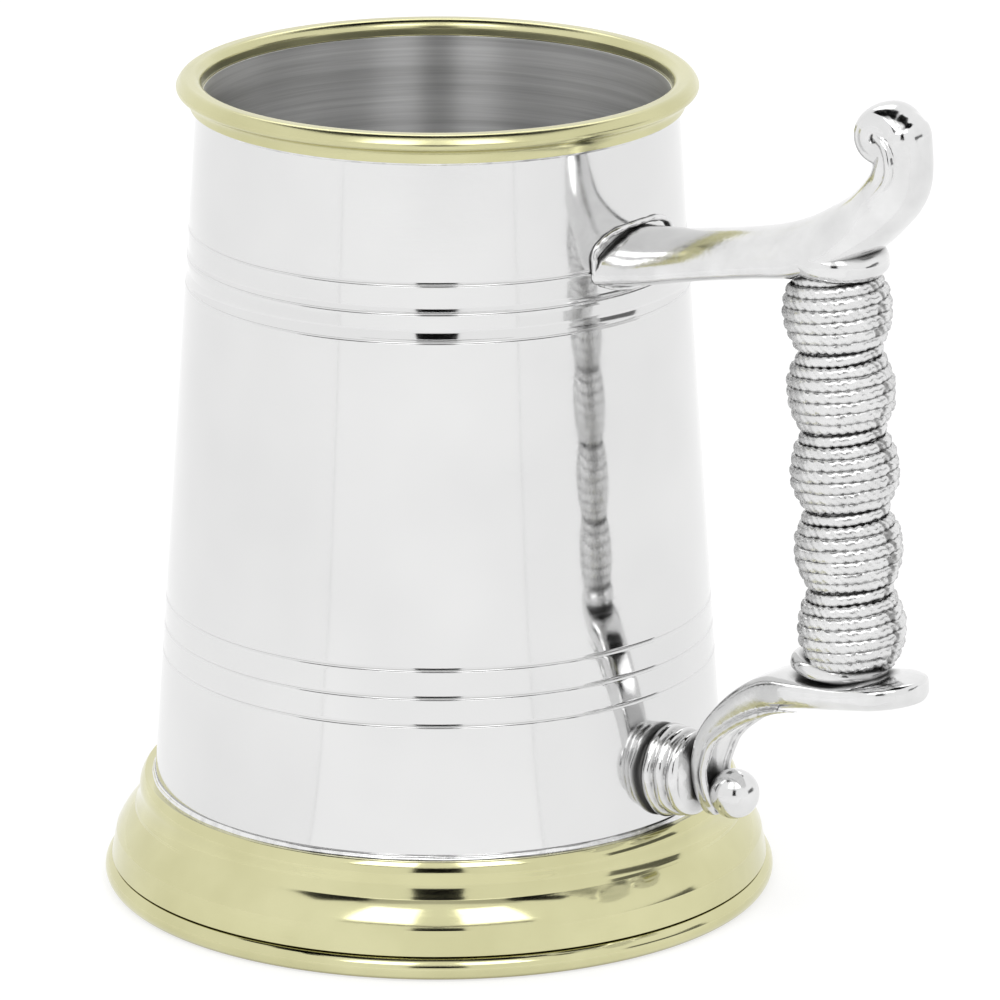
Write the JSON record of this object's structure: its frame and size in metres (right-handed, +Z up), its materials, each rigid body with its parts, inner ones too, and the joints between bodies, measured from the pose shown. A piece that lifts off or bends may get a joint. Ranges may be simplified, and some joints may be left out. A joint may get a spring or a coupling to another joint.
{
  "type": "tankard",
  "caption": "Open-topped pewter tankard with a tapered drum, brass rim and foot, and a cast handle with a curled horn and a bound grip of rounded bulbs.",
  "frame": {"origin": "centre of the foot's underside, on the drum's axis", "axes": "+Z up the drum's axis from the foot to the mouth, +X from the axis towards the handle, +Y completes the right-handed set; the tankard is symmetric about the XZ plane"},
  "size_m": [0.1451, 0.1062, 0.1379],
  "materials": {
    "pewter": "polished pewter sheet, brushed inside",
    "cast_pewter": "polished cast pewter with darkened recesses",
    "rope_pewter": "cast pewter rope, dark between the strands",
    "solder": "bright soft solder",
    "brass": "polished pale brass"
  },
  "bodies": {
    "root": {"drum": "pewter", "drum_floor": "pewter", "rim_moulding": "brass", "rim_solder": "solder", "foot_moulding": "brass", "foot_ring": "brass", "foot_solder": "solder", "upper_pad": "cast_pewter", "thumb_arm": "cast_pewter", "horn_curl": "cast_pewter", "upper_ferrule": "cast_pewter", "grip_core": "cast_pewter", "grip_binding": "rope_pewter", "lower_ferrule": "cast_pewter", "lower_bracket": "cast_pewter", "scroll_ball": "cast_pewter", "reeded_boss": "cast_pewter"}
  },
  "joints": []
}
